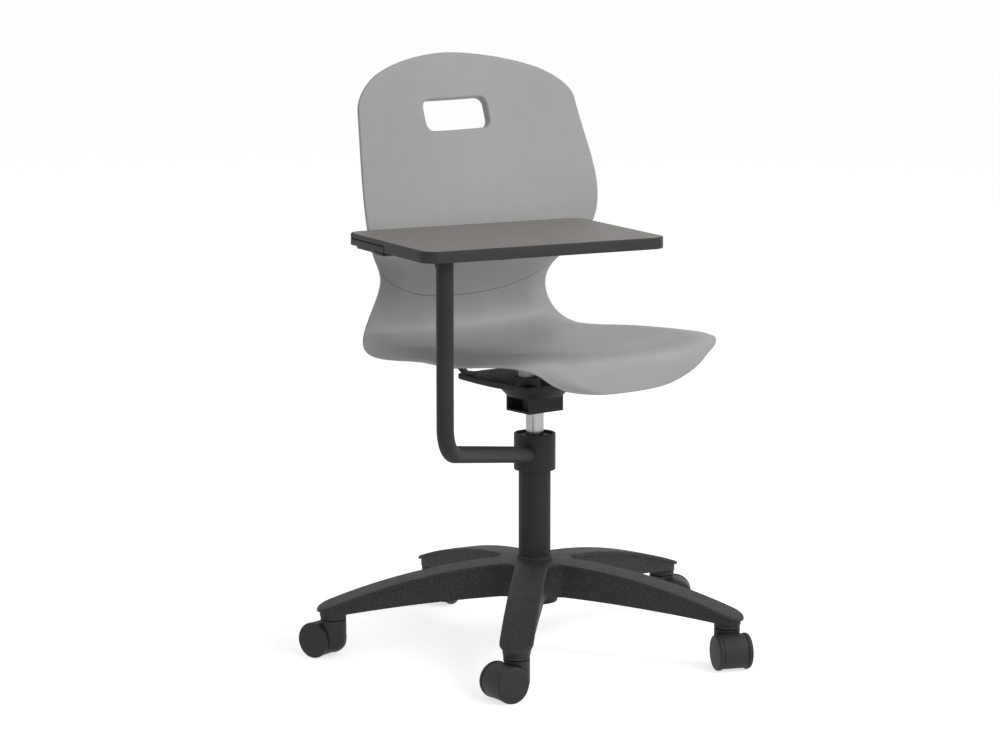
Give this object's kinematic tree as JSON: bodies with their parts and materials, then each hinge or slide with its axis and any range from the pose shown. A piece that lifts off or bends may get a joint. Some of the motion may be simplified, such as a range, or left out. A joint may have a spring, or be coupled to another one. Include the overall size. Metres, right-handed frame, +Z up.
{
  "type": "swivel chair with writing tablet",
  "caption": "Swivel chair with a one-piece grey plastic shell, black five-star base on castors and a writing tablet on a bent tube arm",
  "frame": {"origin": "on the floor under the column's axis", "axes": "+Z up, +Y towards the back of the seat, -Y is where the sitter faces, +X to the sitter's left"},
  "size_m": [0.7584, 0.6962, 0.919],
  "materials": {
    "black_nylon": "fine spark-eroded grain",
    "black_steel": "fine-texture black powder coat",
    "black_plastic": "plain satin",
    "bright_cylinder": "hard chrome",
    "bare_steel": "zinc plated",
    "grey_shell": "fine leather grain",
    "grey_laminate": "fine-grained laminate"
  },
  "bodies": {
    "base": {"star_base": "black_nylon", "gas_column": "black_steel", "column_guide_sleeve": "black_plastic", "bearing_lower_washer": "bare_steel", "caster_stem_1": "bare_steel", "caster_stem_2": "bare_steel", "caster_stem_3": "bare_steel", "caster_stem_4": "bare_steel", "caster_stem_5": "bare_steel"},
    "rod": {"piston_rod": "bare_steel", "bearing_ball_cage": "black_nylon", "bearing_upper_washer": "bare_steel", "rod_clip": "bare_steel"},
    "seat": {"gas_cylinder": "bright_cylinder", "lift_box": "black_steel", "taper_bush": "bare_steel", "seat_bracket": "black_steel", "seat_shell": "grey_shell", "shell_screws": "bare_steel", "shell_buffers": "black_plastic", "lever_pivot_pin": "bare_steel"},
    "lever": {"lift_lever": "bare_steel", "lever_grip": "black_plastic"},
    "valve": {"valve_pin": "bare_steel"},
    "writing_arm": {"arm_collar": "black_steel", "collar_bush": "black_plastic", "arm_tube": "black_steel", "post_bush": "black_plastic"},
    "tablet": {"tablet_post": "black_steel", "post_gusset": "black_steel", "tablet_plate": "black_steel", "tablet_screws": "bare_steel", "tablet_board": "grey_laminate", "tablet_edge_band": "black_plastic", "tablet_edge_clip": "black_plastic"},
    "castor_1": {"caster_hood_1": "black_nylon", "caster_axle_1": "bare_steel"},
    "wheel_left_1": {"caster_wheel_left_1": "black_nylon"},
    "wheel_right_1": {"caster_wheel_right_1": "black_nylon"},
    "castor_2": {"caster_hood_2": "black_nylon", "caster_axle_2": "bare_steel"},
    "wheel_left_2": {"caster_wheel_left_2": "black_nylon"},
    "wheel_right_2": {"caster_wheel_right_2": "black_nylon"},
    "castor_3": {"caster_hood_3": "black_nylon", "caster_axle_3": "bare_steel"},
    "wheel_left_3": {"caster_wheel_left_3": "black_nylon"},
    "wheel_right_3": {"caster_wheel_right_3": "black_nylon"},
    "castor_4": {"caster_hood_4": "black_nylon", "caster_axle_4": "bare_steel"},
    "wheel_left_4": {"caster_wheel_left_4": "black_nylon"},
    "wheel_right_4": {"caster_wheel_right_4": "black_nylon"},
    "castor_5": {"caster_hood_5": "black_nylon", "caster_axle_5": "bare_steel"},
    "wheel_left_5": {"caster_wheel_left_5": "black_nylon"},
    "wheel_right_5": {"caster_wheel_right_5": "black_nylon"}
  },
  "joints": [
    {"name": "seat_swivel", "type": "hinge", "parent": "base", "child": "rod", "pos_m": [0, 0, 0.08], "axis": [0, 0, 1], "continuous": true},
    {"name": "seat_height", "type": "slide", "parent": "rod", "child": "seat", "axis": [0, 0, 1], "range_m": [-0.03, 0.09]},
    {"name": "height_lever", "type": "hinge", "parent": "seat", "child": "lever", "pos_m": [0.027, 0, 0.4143], "axis": [0, -1, 0], "range_deg": [0, 6], "stiffness_Nm_per_rad": 2, "springref_deg": -5.73},
    {"name": "gas_valve", "type": "slide", "parent": "seat", "child": "valve", "axis": [0, 0, -1], "range_m": [0, 0.0029]},
    {"name": "arm_swing", "type": "hinge", "parent": "rod", "child": "writing_arm", "pos_m": [0, 0, 0.312], "axis": [0, 0, 1], "range_deg": [-12, 75]},
    {"name": "tablet_swivel", "type": "hinge", "parent": "writing_arm", "child": "tablet", "pos_m": [-0.33305, -0.20099, 0.585], "axis": [0, 0, 1], "range_deg": [-100, 15]},
    {"name": "castor_swivel_1", "type": "hinge", "parent": "base", "child": "castor_1", "pos_m": [0.31495, 0.05434, 0.055], "axis": [0, 0, 1], "continuous": true},
    {"name": "wheel_spin_left_1", "type": "hinge", "parent": "castor_1", "child": "wheel_left_1", "pos_m": [0.33183, 0.04072, 0.0278], "axis": [0.628, 0.7782, 0], "continuous": true},
    {"name": "wheel_spin_right_1", "type": "hinge", "parent": "castor_1", "child": "wheel_right_1", "pos_m": [0.33183, 0.04072, 0.0278], "axis": [0.628, 0.7782, 0], "continuous": true},
    {"name": "castor_swivel_2", "type": "hinge", "parent": "base", "child": "castor_2", "pos_m": [0.04564, 0.31633, 0.055], "axis": [0, 0, 1], "continuous": true},
    {"name": "wheel_spin_left_2", "type": "hinge", "parent": "castor_2", "child": "wheel_left_2", "pos_m": [0.06587, 0.32417, 0.0278], "axis": [-0.3616, 0.9323, 0], "continuous": true},
    {"name": "wheel_spin_right_2", "type": "hinge", "parent": "castor_2", "child": "wheel_right_2", "pos_m": [0.06587, 0.32417, 0.0278], "axis": [-0.3616, 0.9323, 0], "continuous": true},
    {"name": "castor_swivel_3", "type": "hinge", "parent": "base", "child": "castor_3", "pos_m": [-0.28674, 0.14116, 0.055], "axis": [0, 0, 1], "continuous": true},
    {"name": "wheel_spin_left_3", "type": "hinge", "parent": "castor_3", "child": "wheel_left_3", "pos_m": [-0.29221, 0.16215, 0.0278], "axis": [-0.9677, -0.2521, 0], "continuous": true},
    {"name": "wheel_spin_right_3", "type": "hinge", "parent": "castor_3", "child": "wheel_right_3", "pos_m": [-0.29221, 0.16215, 0.0278], "axis": [-0.9677, -0.2521, 0], "continuous": true},
    {"name": "castor_swivel_4", "type": "hinge", "parent": "base", "child": "castor_4", "pos_m": [-0.22285, -0.22909, 0.055], "axis": [0, 0, 1], "continuous": true},
    {"name": "wheel_spin_left_4", "type": "hinge", "parent": "castor_4", "child": "wheel_left_4", "pos_m": [-0.24444, -0.22682, 0.0278], "axis": [-0.1045, -0.9945, 0], "continuous": true},
    {"name": "wheel_spin_right_4", "type": "hinge", "parent": "castor_4", "child": "wheel_right_4", "pos_m": [-0.24444, -0.22682, 0.0278], "axis": [-0.1045, -0.9945, 0], "continuous": true},
    {"name": "castor_swivel_5", "type": "hinge", "parent": "base", "child": "castor_5", "pos_m": [0.14901, -0.28274, 0.055], "axis": [0, 0, 1], "continuous": true},
    {"name": "wheel_spin_left_5", "type": "hinge", "parent": "castor_5", "child": "wheel_left_5", "pos_m": [0.14053, -0.30271, 0.0278], "axis": [0.9205, -0.3907, 0], "continuous": true},
    {"name": "wheel_spin_right_5", "type": "hinge", "parent": "castor_5", "child": "wheel_right_5", "pos_m": [0.14053, -0.30271, 0.0278], "axis": [0.9205, -0.3907, 0], "continuous": true}
  ],
  "couplings": [
    {"joint": "gas_valve", "follows": "height_lever", "m_per_rad": 0.027}
  ]
}
